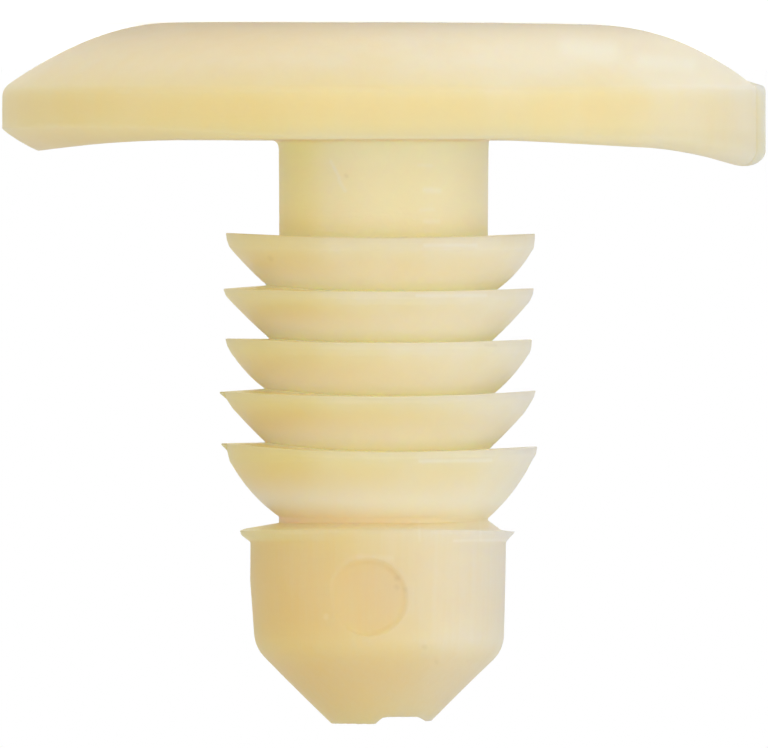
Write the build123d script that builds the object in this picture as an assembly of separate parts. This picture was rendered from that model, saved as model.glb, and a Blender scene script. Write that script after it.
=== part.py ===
"""One-piece push rivet, moulded in natural nylon.

The head's seat, which bears on the panel, is the plane Z = 0. The shank stands up along +Z from it
and its axis is the Z axis. The crown is below, so the rivet stands on the flat of its crown.
All lengths are in millimetres. Half sections are drawn flat, radius along X and height along Y,
and turned up into the XZ plane.
"""
from build123d import *
import math
import os

# Head: a round disc with a low domed crown
head_diameter = 18.0
head_thickness = 2.75          # from the crown's flat to the seat
crown_flat_diameter = 9.0      # flat middle of the crown
rim_height = 1.22              # upright rim wall, from the dome's edge to the seat
rim_edge_round = 0.12          # edge between dome and rim wall

# Underside of the head: an arch that runs straight along Y, so that a mould split on the XZ plane frees it
seat_width = 8.8               # flat strip that bears on the panel
arch_droop = 0.45              # how far the arch's two ends come down past the seat
rim_corner_round = 0.6         # lower corner of the rim

# Neck: the grip length, which takes the panels
neck_diameter = 4.9
neck_length = 2.29
neck_fillet = 0.2

# Barbs: flat toward the head, sloping toward the nose
barb_count = 5
barb_pitch = 1.24
barb_diameter = 7.2
barb_root_diameter = 5.36
barb_land = 0.24               # upright band at the crest
barb_dish = 0.06               # the crest stands this much nearer the head than the root of its face
barb_bulge = 0.05              # crown of the sloping flank over a straight cone

# The last barb is longer and runs down to the waist
last_barb_land = 0.46
last_barb_length = 1.69
waist_diameter = 4.9
waist_length = 0.12

# Nose: a pilot that finds the hole
lip_diameter = 6.44            # thin lip at the back of the nose
lip_slope = 0.2                # the nose's back face falls away by this much out to the lip
lip_thickness = 0.06
lip_taper = 0.2                # length of the cone from the lip to the nose wall
nose_diameter = 6.02           # at the lip's taper
nose_draft = 0.08              # the wall is this much narrower in radius at the shoulder
nose_wall_length = 2.5
nose_shoulder_round = 0.7
tip_cone_angle = 45.0          # from the axis
tip_diameter = 2.46

# Scars of moulding
ejector_diameter = 1.84        # flat disc left by an ejector pin on the front of the nose
ejector_offset = 0.22          # off the axis, toward +X
ejector_sink = 0.03            # floor below the place where the pin's edge meets the nose wall
ejector_height = 10.8          # above the seat
gate_break_depth = 0.14        # step torn out of the tip where the gate broke away
gate_break_start = 0.04        # from the axis, toward -X
gate_break_width = 1.02

# Derived sizes
head_radius = head_diameter / 2
crown_flat_radius = crown_flat_diameter / 2
neck_radius = neck_diameter / 2
barb_radius = barb_diameter / 2
barb_root_radius = barb_root_diameter / 2
waist_radius = waist_diameter / 2
lip_radius = lip_diameter / 2
nose_radius = nose_diameter / 2
shoulder_radius = nose_radius - nose_draft
tip_radius = tip_diameter / 2

last_barb_z = neck_length + (barb_count - 1) * barb_pitch
waist_z = last_barb_z + last_barb_length
nose_z = waist_z + waist_length
lip_z = nose_z + lip_slope
wall_z = lip_z + lip_thickness + lip_taper
shoulder_z = wall_z + nose_wall_length
tip_cone_length = (shoulder_radius - tip_radius) / math.tan(math.radians(tip_cone_angle))
tip_z = shoulder_z + tip_cone_length


def closed_face(edges):
    """Flat face bounded by a closed chain of edges."""
    return make_face(Curve() + edges)


def turned(profile):
    """Solid of revolution about Z, from a half section drawn as radius and height."""
    return revolve(Plane.XZ * profile, Axis.Z)


def make_disc():
    """The head before its underside is arched: flat crown, dome, rim wall and flat foot."""
    crown_z = -head_thickness
    centre_top = (0, crown_z)
    flat_end = (crown_flat_radius, crown_z)
    rim_top = (head_radius, -rim_height)
    rim_foot = (head_radius, arch_droop)
    centre_foot = (0, arch_droop)
    profile = closed_face([
        Line(centre_top, flat_end),
        TangentArc(flat_end, rim_top, tangent=(1, 0)),
        Line(rim_top, rim_foot),
        Line(rim_foot, centre_foot),
        Line(centre_foot, centre_top),
    ])
    for corner, radius in ((rim_top, rim_edge_round), (rim_foot, rim_corner_round)):
        profile = fillet(profile.vertices().sort_by_distance(corner)[0], radius)
    return turned(profile)


def make_arch():
    """What the mould takes out from under the head: flat over the seat, drooping to both ends."""
    half_seat = seat_width / 2
    seat_end = (half_seat, 0)
    arch_end = (head_radius, arch_droop)
    roof_end = (head_radius, 2 * arch_droop)
    right = Curve() + [TangentArc(seat_end, arch_end, tangent=(1, 0)), Line(arch_end, roof_end)]
    left = mirror(right, Plane.YZ)
    profile = closed_face([
        *left.edges(),
        Line((-half_seat, 0), seat_end),
        *right.edges(),
        Line(roof_end, (-head_radius, 2 * arch_droop)),
    ])
    return extrude(Plane.XZ * profile, head_diameter, both=True)


def make_head():
    """Domed disc with its arched underside."""
    return make_disc() - make_arch()


def barb_edges(face_root, land, flank_root):
    """Half section of one barb: dished face, upright land at the crest and bulging flank."""
    face_z = face_root.Y
    crest = (barb_radius, face_z - barb_dish)
    land_end = (barb_radius, face_z + land)
    return [Line(face_root, crest), Line(crest, land_end), SagittaArc(land_end, flank_root, -barb_bulge)]


def make_shank():
    """Neck, barbs, waist and nose, from inside the head to the tip."""
    foot_z = -rim_height
    edges = Polyline((0, foot_z), (neck_radius, foot_z), (neck_radius, neck_length)).edges()
    for index in range(1, barb_count):
        root_z = neck_length + index * barb_pitch
        edges += barb_edges(edges[-1] @ 1, barb_land, (barb_root_radius, root_z))
    edges += barb_edges(edges[-1] @ 1, last_barb_land, (waist_radius, waist_z))

    outline = [
        (waist_radius, waist_z),
        (waist_radius, nose_z),
        (lip_radius, lip_z),
        (lip_radius, lip_z + lip_thickness),
        (nose_radius, wall_z),
        (shoulder_radius, shoulder_z),
        (tip_radius, tip_z),
        (0, tip_z),
        (0, foot_z),
    ]
    edges += Polyline(*outline).edges()
    profile = closed_face(edges)
    shoulder = profile.vertices().sort_by_distance((shoulder_radius, shoulder_z))[0]
    return turned(fillet(shoulder, nose_shoulder_round))


def make_ejector_mark():
    """Shallow round pocket on the front of the nose, where an ejector pin's flat end stood."""
    pin_radius = ejector_diameter / 2
    reach = ejector_offset + pin_radius
    edge_y = math.sqrt(nose_radius**2 - reach**2)
    floor_y = -(edge_y - ejector_sink)
    seat = Plane(origin=(ejector_offset, floor_y, ejector_height), z_dir=(0, -1, 0))
    return extrude(seat * Circle(pin_radius), nose_radius)


def make_gate_break():
    """The bite that the gate tore out of the tip."""
    bite = Box(gate_break_width, nose_diameter, gate_break_depth, align=(Align.MAX, Align.CENTER, Align.MAX))
    return Pos(-gate_break_start, 0, tip_z) * bite


def make_rivet():
    """The whole moulding."""
    rivet = make_head() + make_shank()
    neck_foot = (
        rivet.edges()
        .filter_by(GeomType.CIRCLE)
        .filter_by(lambda edge: abs(edge.radius - neck_radius) < 1e-6)
        .sort_by_distance((0, 0, 0))[0]
    )
    rivet = fillet(neck_foot, neck_fillet)
    return rivet - make_ejector_mark() - make_gate_break()


os.makedirs("parts", exist_ok=True)
push_rivet = make_rivet()
export_step(push_rivet, "parts/push_rivet.step")
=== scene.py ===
"""Plastic push rivet, moulded in one shot of natural nylon 6/6 and standing on the flat of its crown.

The moulding replaces the frame's plain solid. Its half section is measured at three places round the axis: at
both ends of the parting line, and midway on the faces between them. A Geometry Nodes lathe turns the section
and lets each place pass softly into the next, so that the warped head, the uneven barbs and the flash of a
real moulding come out of one rule. Lengths are in millimetres in the forms, and in metres in every mesh.
"""
from __future__ import annotations

import logging
import math
from dataclasses import dataclass, replace
from enum import Enum
from functools import partial
from typing import Any, Iterable, Sequence, TypeAlias

import bmesh
import bpy
from mathutils import Matrix, Vector, noise

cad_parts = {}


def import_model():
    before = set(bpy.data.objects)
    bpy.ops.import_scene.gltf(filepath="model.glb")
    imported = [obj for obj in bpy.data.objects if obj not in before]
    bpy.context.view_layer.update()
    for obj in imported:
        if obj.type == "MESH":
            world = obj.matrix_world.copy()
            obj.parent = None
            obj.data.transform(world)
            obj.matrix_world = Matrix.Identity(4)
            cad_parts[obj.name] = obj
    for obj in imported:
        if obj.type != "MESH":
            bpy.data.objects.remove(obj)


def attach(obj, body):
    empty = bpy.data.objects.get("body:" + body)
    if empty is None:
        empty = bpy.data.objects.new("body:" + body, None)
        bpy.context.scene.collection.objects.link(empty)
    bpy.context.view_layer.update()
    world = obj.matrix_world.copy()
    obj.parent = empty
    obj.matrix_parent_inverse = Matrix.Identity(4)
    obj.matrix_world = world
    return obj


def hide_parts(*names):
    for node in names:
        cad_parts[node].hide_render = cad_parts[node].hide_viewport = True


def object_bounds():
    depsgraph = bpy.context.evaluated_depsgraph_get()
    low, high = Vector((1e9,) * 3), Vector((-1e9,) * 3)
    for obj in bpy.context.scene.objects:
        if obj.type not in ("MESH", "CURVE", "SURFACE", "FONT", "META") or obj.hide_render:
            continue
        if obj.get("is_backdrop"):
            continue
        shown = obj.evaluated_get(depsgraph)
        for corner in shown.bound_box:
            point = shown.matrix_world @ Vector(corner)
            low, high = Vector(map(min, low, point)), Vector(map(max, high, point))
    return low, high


MM = 0.001
BODY = "root"
NODE = "push_rivet"
SHARP_ANGLE = math.radians(40.0)
NOISE_MIDDLE = 0.5
WHITE = "#FFFFFF"
Level: TypeAlias = "bpy.types.Node | bpy.types.NodeSocket | float"

log = logging.getLogger("push_rivet")


# ---- Small tools ----


def linear_colour(hex_text: str) -> tuple[float, float, float, float]:
    """Turn an sRGB hex colour into the linear values that Blender works in.

    Args:
        hex_text: Colour such as "#E9D6A8".

    Returns:
        Linear red, green and blue, and an alpha of 1.
    """
    channels = [int(hex_text[start : start + 2], 16) / 255 for start in (1, 3, 5)]
    red, green, blue = (c / 12.92 if c <= 0.04045 else ((c + 0.055) / 1.055) ** 2.4 for c in channels)
    return red, green, blue, 1.0


def add_node(
    tree: bpy.types.NodeTree,
    kind: str,
    inputs: dict[int | str, Any] | Sequence[Any] = (),
    **settings: Any,
) -> bpy.types.Node:
    """Add one node with its settings, and link or set its inputs.

    Args:
        tree: Node tree that gets the node.
        kind: Blender's name of the node type.
        inputs: Values by socket name or index, or in socket order. A node stands for its first live output, a
            socket is linked as it is, None leaves the socket alone and anything else becomes its value.
        settings: The node's own properties.

    Returns:
        The new node.
    """
    node = tree.nodes.new(kind)
    for name, value in settings.items():
        setattr(node, name, value)
    pairs = inputs.items() if isinstance(inputs, dict) else enumerate(inputs)
    for key, source in pairs:
        if source is None:
            continue
        if isinstance(source, bpy.types.Node):
            source = next(socket for socket in source.outputs if socket.enabled)
        if isinstance(source, bpy.types.NodeSocket):
            tree.links.new(source, node.inputs[key])
        else:
            node.inputs[key].default_value = source
    return node


def empty_tree(owner: bpy.types.Material | bpy.types.World) -> bpy.types.NodeTree:
    """Switch a material or a world to nodes, and clear those that it comes with.

    Args:
        owner: The material or world.

    Returns:
        Its node tree, empty.
    """
    owner.use_nodes = True
    owner.node_tree.nodes.clear()
    return owner.node_tree


def seen_plainly(tree: bpy.types.NodeTree) -> Level:
    """Tell the rays that show a background, by sight, gloss or glass, from those that only light the rivet.

    Args:
        tree: Node tree of a background.

    Returns:
        1 for a ray that shows the background, and 0 for any other.
    """
    rays = add_node(tree, "ShaderNodeLightPath").outputs
    seen = rays["Is Camera Ray"]
    for kind in ("Is Glossy Ray", "Is Transmission Ray"):
        seen = add_node(tree, "ShaderNodeMath", [seen, rays[kind]], operation="MAXIMUM")
    return seen


def new_object(name: str, mesh: bpy.types.Mesh) -> bpy.types.Object:
    """Put a mesh into the scene as an object at the origin.

    Args:
        name: Name of the object.
        mesh: Its mesh, in metres.

    Returns:
        The linked object.
    """
    made = bpy.data.objects.new(name, mesh)
    bpy.context.scene.collection.objects.link(made)
    return made


def solid_from_rings(name: str, rings: Sequence[Sequence[Vector]]) -> bpy.types.Object:
    """Skin a stack of rings of equal count, and close it with a fan at both ends.

    Args:
        name: Name of the object.
        rings: Rings of points in metres, in order along the stack.

    Returns:
        A closed mesh object with its faces turned outwards.
    """
    form = bmesh.new()
    loops = [[form.verts.new(point) for point in ring] for ring in rings]
    for lower, upper in zip(loops, loops[1:]):
        for i in range(len(lower)):
            j = (i + 1) % len(lower)
            form.faces.new((lower[i], lower[j], upper[j], upper[i]))
    for loop in (loops[0], loops[-1]):
        centre = form.verts.new(sum((v.co for v in loop), Vector()) / len(loop))
        for i in range(len(loop)):
            form.faces.new((loop[i], loop[(i + 1) % len(loop)], centre))
    bmesh.ops.recalc_face_normals(form, faces=form.faces)
    mesh = bpy.data.meshes.new(name)
    form.to_mesh(mesh)
    form.free()
    return new_object(name, mesh)


# ---- The half section ----


class Side(Enum):
    """The places round the axis where the half section is measured."""

    PLUS = "parting line toward +X"
    MINUS = "parting line toward -X"
    FACES = "mould faces toward -Y and +Y"


@dataclass(frozen=True)
class Sided:
    """One size at the three measured places. Left out, the faces are midway between the two ends."""

    plus: float
    minus: float
    faces: float | None = None

    def at(self, side: Side) -> float:
        """Pick the size of one place.

        Args:
            side: The place round the axis.

        Returns:
            The size there, in millimetres.
        """
        if side is Side.PLUS:
            return self.plus
        if side is Side.MINUS:
            return self.minus
        return (self.plus + self.minus) / 2 if self.faces is None else self.faces


@dataclass(frozen=True)
class Knot:
    """A corner of the half section, and the run that leads to it from the knot before."""

    radius: float
    height: float
    cut: float = 0.0        # how far the rounding of the corner reaches along both runs
    steps: int = 1          # points on the run, its end included
    round_steps: int = 0    # points on the rounding
    bulge: float = 0.0      # how far the middle of the run stands out from a straight one
    arch: float = 0.0       # share of the head's arch that the point follows
    flash: float = 0.0      # how far the parting line's flash stands out here

    @property
    def place(self) -> Vector:
        """Radius and height as a vector."""
        return Vector((self.radius, self.height))


@dataclass(frozen=True)
class SectionPoint:
    """One point of the finished half section."""

    radius: float
    height: float
    arch: float
    flash: float


def trace(knots: Sequence[Knot]) -> list[SectionPoint]:
    """Draw the half section through its knots, with the same count of points whatever the sizes are.

    Args:
        knots: The corners, from the crown's centre to the tip's centre.

    Returns:
        The points in order.
    """
    points = [SectionPoint(knots[0].radius, knots[0].height, knots[0].arch, knots[0].flash)]
    run_start = knots[0].place
    for index in range(1, len(knots)):
        before, knot = knots[index - 1], knots[index]
        along = (knot.place - before.place).normalized()
        outward = Vector((along.y, -along.x))
        run_end = knot.place - along * knot.cut
        for step in range(1, knot.steps + 1):
            share = step / knot.steps
            spot = run_start.lerp(run_end, share) + outward * (4 * share * (1 - share) * knot.bulge)
            arch = before.arch + (knot.arch - before.arch) * share
            flash = before.flash + (knot.flash - before.flash) * share
            points.append(SectionPoint(spot.x, spot.y, arch, flash))
        run_start = knot.place
        if knot.round_steps:
            leaving = (knots[index + 1].place - knot.place).normalized()
            run_start = knot.place + leaving * knot.cut
            for step in range(1, knot.round_steps + 1):
                share = step / knot.round_steps
                spot = run_end.lerp(knot.place, share).lerp(knot.place.lerp(run_start, share), share)
                points.append(SectionPoint(spot.x, spot.y, knot.arch, knot.flash))
    return points


@dataclass(frozen=True)
class HeadForm:
    """Domed disc: flat crown, dome, rim wall, and an underside that droops to both ends."""

    thickness: float = 2.75
    crown_flat_radius: Sided = Sided(plus=5.1, minus=5.05, faces=4.6)
    crown_fall: Sided = Sided(plus=0.0, minus=0.055, faces=0.035)
    dome_power: Sided = Sided(plus=1.81, minus=2.05, faces=1.95)
    rim_radius: Sided = Sided(plus=8.97, minus=8.82, faces=8.99)
    rim_height: Sided = Sided(plus=1.20, minus=1.22, faces=1.10)
    rim_edge_cut: Sided = Sided(plus=0.2, minus=0.09, faces=0.09)
    rim_flash: Sided = Sided(plus=0.0, minus=0.22, faces=0.0)
    corner_width: Sided = Sided(plus=0.85, minus=0.62, faces=0.07)
    corner_height: Sided = Sided(plus=0.66, minus=0.6, faces=0.07)
    corner_fullness: Sided = Sided(plus=1.12, minus=2.0, faces=2.0)
    dome_steps: int = 18
    corner_steps: int = 8

    def dome(self, side: Side) -> list[Knot]:
        """Flat crown and the dome, which leaves the flat without a kink.

        Args:
            side: The place round the axis.

        Returns:
            Knots from the crown's centre to the rim's upper edge.
        """
        flat_radius = self.crown_flat_radius.at(side)
        rim_radius = self.rim_radius.at(side)
        rim_height = self.rim_height.at(side)
        flat_end = self.crown_fall.at(side) - self.thickness
        drop = -rim_height - flat_end
        knots = [Knot(0.0, -self.thickness), Knot(flat_radius, flat_end, steps=3)]
        for step in range(1, self.dome_steps):
            share = step / self.dome_steps
            radius = flat_radius + (rim_radius - flat_radius) * share
            knots.append(Knot(radius, flat_end + drop * share ** self.dome_power.at(side)))
        edge = Knot(
            rim_radius,
            -rim_height,
            cut=self.rim_edge_cut.at(side),
            round_steps=5,
            flash=self.rim_flash.at(side),
        )
        return [*knots, edge]

    def corner(self, side: Side) -> list[Knot]:
        """Rim wall and its lower corner, from a bevel to a full round.

        Args:
            side: The place round the axis.

        Returns:
            Knots from the foot of the wall to the start of the underside.
        """
        radius = self.rim_radius.at(side)
        width = self.corner_width.at(side)
        height = self.corner_height.at(side)
        power = 2 / self.corner_fullness.at(side)
        knots = [Knot(radius, -height, steps=9, arch=1.0, flash=self.rim_flash.at(side))]
        for step in range(1, self.corner_steps + 1):
            angle = math.pi / 2 * step / self.corner_steps
            inset = width * (1 - math.cos(angle) ** power if step < self.corner_steps else 1.0)
            rise = height * math.sin(angle) ** power
            flash = self.rim_flash.at(side) * (1 - step / self.corner_steps)
            knots.append(Knot(radius - inset, rise - height, arch=1.0, flash=flash))
        return knots

    def section(self, side: Side) -> list[Knot]:
        """Knots of the whole head, from the crown's centre to the start of the underside."""
        return [*self.dome(side), *self.corner(side)]


@dataclass(frozen=True)
class NeckForm:
    """Plain grip between the head's underside and the first barb."""

    radius: Sided = Sided(plus=2.448, minus=2.505)
    foot_cut: Sided = Sided(plus=0.24, minus=0.1)

    def section(self, side: Side) -> list[Knot]:
        """One knot, the neck's rounded foot, with the run over the underside that leads to it."""
        return [Knot(self.radius.at(side), 0.0, cut=self.foot_cut.at(side), steps=18, round_steps=5)]


@dataclass(frozen=True)
class Barb:
    """One barb: a face toward the head, a crest with a steep land, and a bulging flank to the next root."""

    root_radius: Sided
    root_height: Sided
    crest_radius: Sided
    crest_height: Sided
    land_radius: Sided
    land_height: Sided
    bulge: Sided
    hook: float = 0.0           # feathered flash at the crest, toward +X
    root_steps: int = 1         # points on the run to the root of the face
    crest_cut: float = 0.035
    hook_height: float = 0.17   # past the crest, where the hook has run out
    hook_slope: float = 0.6     # of the land's own slope, down to where the hook has run out

    def section(self, side: Side) -> list[Knot]:
        """The barb's knots, from the root of its face to the end of its land.

        Args:
            side: The place round the axis.

        Returns:
            The knots in order.
        """
        crest_radius = self.crest_radius.at(side)
        crest_height = self.crest_height.at(side)
        land_height = self.land_height.at(side)
        share = self.hook_height / (land_height - crest_height)
        hook_end = crest_radius + (self.land_radius.at(side) - crest_radius) * share * self.hook_slope
        hook = self.hook if side is Side.PLUS else 0.0
        return [
            Knot(
                self.root_radius.at(side),
                self.root_height.at(side),
                cut=0.03,
                steps=self.root_steps,
                round_steps=2,
            ),
            Knot(crest_radius, crest_height, cut=self.crest_cut, steps=4, round_steps=3, flash=hook),
            Knot(hook_end, crest_height + self.hook_height, steps=3),
            Knot(self.land_radius.at(side), land_height, cut=0.07, steps=3, round_steps=3),
        ]


@dataclass(frozen=True)
class BarbStack:
    """The five barbs, each as uneven as the worn mould left it."""

    flank_steps: int = 9
    barbs: tuple[Barb, ...] = (
        Barb(
            root_radius=Sided(2.44, 2.487),
            root_height=Sided(2.285, 2.275, 2.325),
            crest_radius=Sided(3.70, 3.60),
            crest_height=Sided(2.20, 2.22, 2.325),
            land_radius=Sided(3.61, 3.565),
            land_height=Sided(2.55, 2.59, 2.64),
            bulge=Sided(0.02, 0.065),
            root_steps=16,
        ),
        Barb(
            root_radius=Sided(2.73, 2.68),
            root_height=Sided(3.44, 3.565, 3.59),
            crest_radius=Sided(3.76, 3.575),
            crest_height=Sided(3.52, 3.505, 3.595),
            land_radius=Sided(3.53, 3.47),
            land_height=Sided(3.87, 3.83, 3.92),
            bulge=Sided(0.01, 0.02),
        ),
        Barb(
            root_radius=Sided(2.66, 2.55),
            root_height=Sided(4.70, 4.775, 4.79),
            crest_radius=Sided(3.71, 3.53),
            crest_height=Sided(4.69, 4.71, 4.795),
            land_radius=Sided(3.54, 3.48),
            land_height=Sided(5.09, 5.03, 5.12),
            bulge=Sided(0.04, 0.05),
        ),
        Barb(
            root_radius=Sided(2.78, 2.61),
            root_height=Sided(5.875, 6.02, 6.05),
            crest_radius=Sided(3.73, 3.62),
            crest_height=Sided(5.95, 5.92, 6.055),
            land_radius=Sided(3.53, 3.34),
            land_height=Sided(6.35, 6.46, 6.46),
            bulge=Sided(0.01, 0.01),
            hook=0.12,
        ),
        Barb(
            root_radius=Sided(2.76, 2.52),
            root_height=Sided(7.145, 7.30, 7.355),
            crest_radius=Sided(3.69, 3.655),
            crest_height=Sided(7.165, 7.24, 7.36),
            land_radius=Sided(3.60, 3.58),
            land_height=Sided(7.62, 7.50, 7.62),
            bulge=Sided(0.055, 0.07),
            hook=0.12,
        ),
    )

    def section(self, side: Side) -> list[Knot]:
        """All barbs in order, each root's run being the flank of the barb before.

        Args:
            side: The place round the axis.

        Returns:
            The knots in order.
        """
        knots: list[Knot] = []
        previous: Barb | None = None
        for barb in self.barbs:
            root, *rest = barb.section(side)
            if previous is not None:
                root = replace(root, steps=self.flank_steps, bulge=previous.bulge.at(side))
            knots += [root, *rest]
            previous = barb
        return knots


@dataclass(frozen=True)
class NoseForm:
    """Waist, lip, wall, rounded shoulder, cone and the flat tip."""

    waist_radius: Sided = Sided(2.445, 2.487)
    waist_start: Sided = Sided(8.90, 8.94)
    waist_end: Sided = Sided(9.04, 8.98, 9.05)
    back_radius: Sided = Sided(3.24, 2.80, 2.90)
    back_height: Sided = Sided(9.175, 9.215, 9.13)
    lip_radius: Sided = Sided(3.37, 3.13, 2.985)
    lip_height: Sided = Sided(9.225, 9.25, 9.175)
    lip_foot_radius: Sided = Sided(3.32, 3.06, 3.01)
    lip_foot_height: Sided = Sided(9.34, 9.33, 9.26)
    wall_radius: Sided = Sided(3.116, 2.914, 3.015)
    wall_start: Sided = Sided(9.49, 9.49, 9.48)
    wall_middle_radius: Sided = Sided(3.123, 2.90, 3.01)
    wall_middle: float = 10.4
    shoulder_radius: Sided = Sided(3.005, 2.855)
    shoulder_height: Sided = Sided(11.99, 12.03)
    shoulder_cut: float = 0.34
    tip_radius: Sided = Sided(1.20, 1.09)
    tip_height: float = 13.78
    cone_bulge: Sided = Sided(0.01, -0.01)
    last_bulge: Sided = Sided(0.09, 0.085)

    def section(self, side: Side) -> list[Knot]:
        """The nose's knots, from the last flank's foot to the tip's centre.

        Args:
            side: The place round the axis.

        Returns:
            The knots in order.
        """
        return [
            Knot(
                self.waist_radius.at(side),
                self.waist_start.at(side),
                cut=0.02,
                steps=14,
                round_steps=2,
                bulge=self.last_bulge.at(side),
            ),
            Knot(self.waist_radius.at(side), self.waist_end.at(side), cut=0.015, steps=2, round_steps=2),
            Knot(self.back_radius.at(side), self.back_height.at(side), cut=0.03, steps=4, round_steps=2),
            Knot(self.lip_radius.at(side), self.lip_height.at(side), cut=0.025, steps=2, round_steps=3),
            Knot(
                self.lip_foot_radius.at(side),
                self.lip_foot_height.at(side),
                cut=0.02,
                steps=2,
                round_steps=2,
            ),
            Knot(self.wall_radius.at(side), self.wall_start.at(side), cut=0.03, steps=3, round_steps=2),
            Knot(self.wall_middle_radius.at(side), self.wall_middle, steps=8),
            Knot(
                self.shoulder_radius.at(side),
                self.shoulder_height.at(side),
                cut=self.shoulder_cut,
                steps=12,
                round_steps=8,
            ),
            Knot(
                self.tip_radius.at(side),
                self.tip_height,
                cut=0.04,
                steps=16,
                round_steps=2,
                bulge=self.cone_bulge.at(side),
            ),
            Knot(0.0, self.tip_height, steps=3),
        ]


@dataclass(frozen=True)
class ArchEnd:
    """How the head's underside leaves the panel toward one end of the parting line."""

    start: float        # from the axis, where a straight slope begins
    slope: float
    bend: float         # from the axis, where the curve begins
    curve: float        # drop per square millimetre past the bend


@dataclass(frozen=True)
class RivetSection:
    """The whole half section, form after form."""

    head: HeadForm = HeadForm()
    neck: NeckForm = NeckForm()
    barbs: BarbStack = BarbStack()
    nose: NoseForm = NoseForm()

    def points(self, side: Side) -> list[SectionPoint]:
        """Points of the half section at one place, from the crown's centre to the tip's centre."""
        forms = (self.head, self.neck, self.barbs, self.nose)
        return trace([knot for form in forms for knot in form.section(side)])

    def build(self) -> bpy.types.Object:
        """Lay the faces' section as a chain of edges that carries how both ends differ from it.

        Returns:
            The section object, which the lathe turns.
        """
        faces, plus, minus = (self.points(side) for side in (Side.FACES, Side.PLUS, Side.MINUS))
        mesh = bpy.data.meshes.new("rivet_half_section")
        chain = [(index, index + 1) for index in range(len(faces) - 1)]
        mesh.from_pydata([(p.radius * MM, 0.0, p.height * MM) for p in faces], chain, [])
        for name, ends in (("plus_offset", plus), ("minus_offset", minus)):
            offsets = mesh.attributes.new(name, "FLOAT_VECTOR", "POINT")
            for item, end, face in zip(offsets.data, ends, faces):
                item.vector = ((end.radius - face.radius) * MM, 0.0, (end.height - face.height) * MM)
        shares = mesh.attributes.new("arch_share", "FLOAT", "POINT")
        for share, face in zip(shares.data, faces):
            share.value = face.arch
        flashes = mesh.attributes.new("flash_reach", "FLOAT_VECTOR", "POINT")
        for flash, plus_end, minus_end in zip(flashes.data, plus, minus):
            flash.vector = (plus_end.flash * MM, minus_end.flash * MM, 0.0)
        return new_object("rivet_half_section", mesh)


# ---- The lathe ----


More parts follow.
